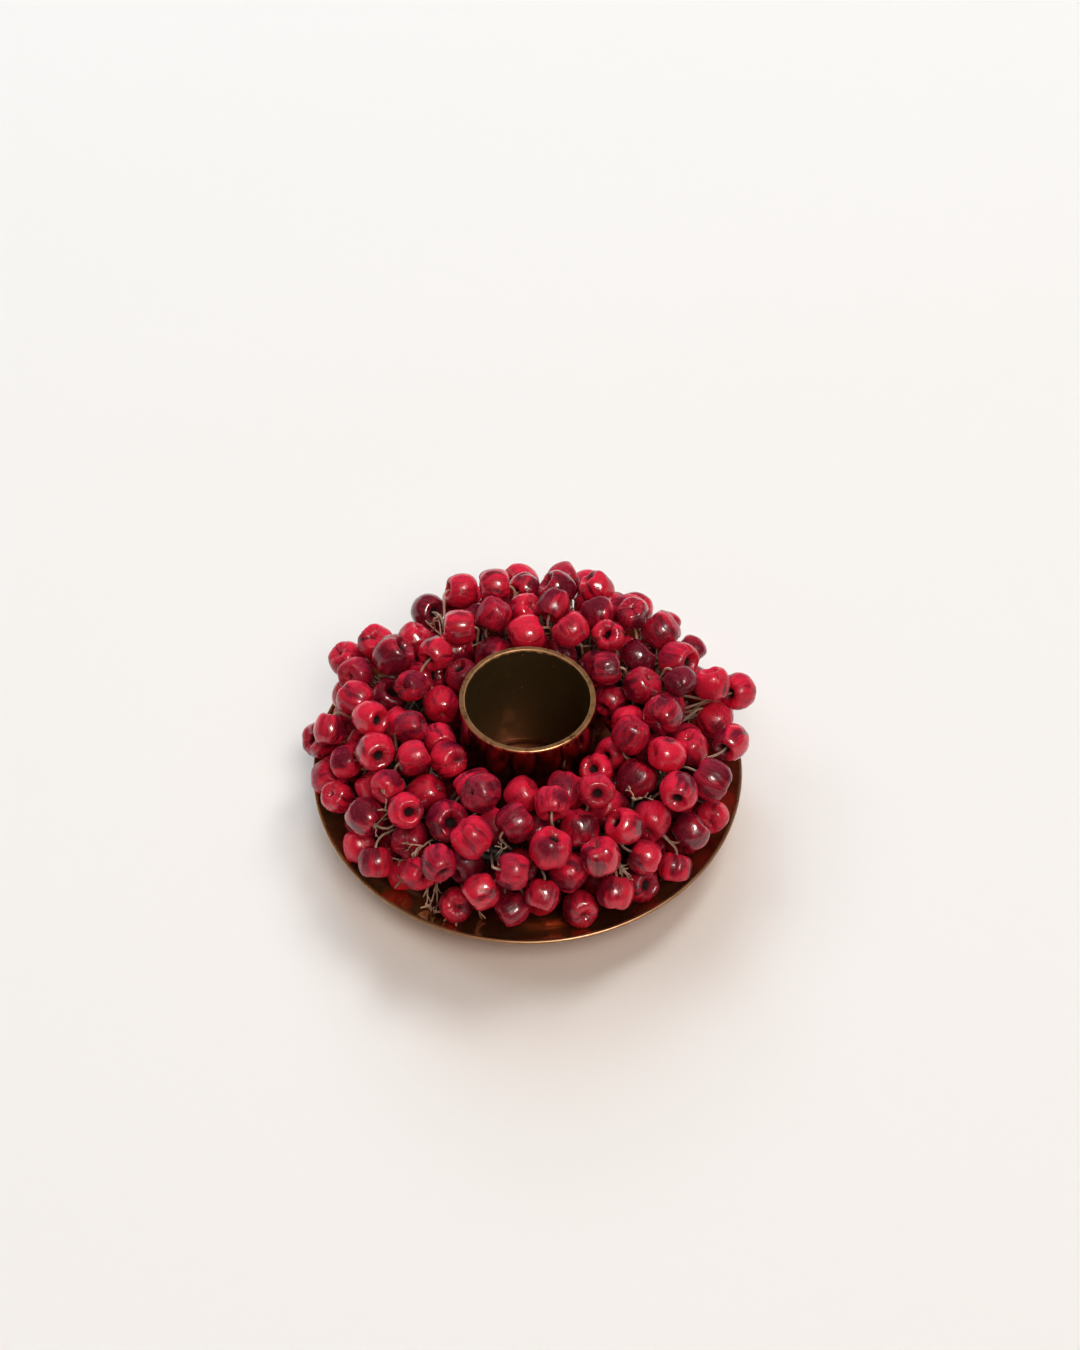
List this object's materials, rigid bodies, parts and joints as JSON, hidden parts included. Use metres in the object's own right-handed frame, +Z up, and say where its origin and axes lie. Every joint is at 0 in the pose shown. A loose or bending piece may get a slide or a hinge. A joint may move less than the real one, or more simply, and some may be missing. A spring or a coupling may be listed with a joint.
{
  "type": "candle ring",
  "caption": "Shallow brass saucer with an upright candle cup at its middle, and a loose wreath of dried red berries on a wire hoop that lies round the cup and lifts off.",
  "frame": {"origin": "middle of the saucer's flat foot, on the surface it stands on", "axes": "+Z up along the candle cup's axis, -Y towards the viewer of the picture"},
  "size_m": [0.149, 0.1424, 0.0557],
  "materials": {
    "aged_brass": "aged, dark, worn bright at rims",
    "braze": "aged, dull",
    "hoop_wire": "dull, dark",
    "tying_wire": "dull",
    "berry_skin": "dried, wrinkled, waxy gloss",
    "stalk_bark": "dry bark"
  },
  "bodies": {
    "holder": {"saucer": "aged_brass", "candle_cup": "aged_brass", "braze_fillet": "braze"},
    "berry_ring": {"wire_hoop": "hoop_wire", "binding_wire": "tying_wire", "sprig_01_stalks": "stalk_bark", "sprig_02_stalks": "stalk_bark", "sprig_03_stalks": "stalk_bark", "sprig_04_stalks": "stalk_bark", "sprig_05_stalks": "stalk_bark", "sprig_06_stalks": "stalk_bark", "sprig_07_stalks": "stalk_bark", "sprig_08_stalks": "stalk_bark", "sprig_09_stalks": "stalk_bark", "sprig_10_stalks": "stalk_bark", "sprig_11_stalks": "stalk_bark", "sprig_12_stalks": "stalk_bark", "sprig_13_stalks": "stalk_bark", "sprig_14_stalks": "stalk_bark", "sprig_15_stalks": "stalk_bark", "sprig_16_stalks": "stalk_bark", "sprig_17_stalks": "stalk_bark", "sprig_18_stalks": "stalk_bark", "sprig_19_stalks": "stalk_bark", "sprig_20_stalks": "stalk_bark", "sprig_21_stalks": "stalk_bark", "sprig_22_stalks": "stalk_bark", "sprig_23_stalks": "stalk_bark", "sprig_24_stalks": "stalk_bark", "sprig_01_berries": "berry_skin", "sprig_02_berries": "berry_skin", "sprig_03_berries": "berry_skin", "sprig_04_berries": "berry_skin", "sprig_05_berries": "berry_skin", "sprig_06_berries": "berry_skin", "sprig_07_berries": "berry_skin", "sprig_08_berries": "berry_skin", "sprig_09_berries": "berry_skin", "sprig_10_berries": "berry_skin", "sprig_11_berries": "berry_skin", "sprig_12_berries": "berry_skin", "sprig_13_berries": "berry_skin", "sprig_14_berries": "berry_skin", "sprig_15_berries": "berry_skin", "sprig_16_berries": "berry_skin", "sprig_17_berries": "berry_skin", "sprig_18_berries": "berry_skin", "sprig_19_berries": "berry_skin", "sprig_20_berries": "berry_skin", "sprig_21_berries": "berry_skin", "sprig_22_berries": "berry_skin", "sprig_23_berries": "berry_skin", "sprig_24_berries": "berry_skin"}
  },
  "joints": [
    {"name": "ring_lift", "type": "slide", "parent": "holder", "child": "berry_ring", "axis": [0, 0, 1], "range_m": [0, 0.055]}
  ]
}
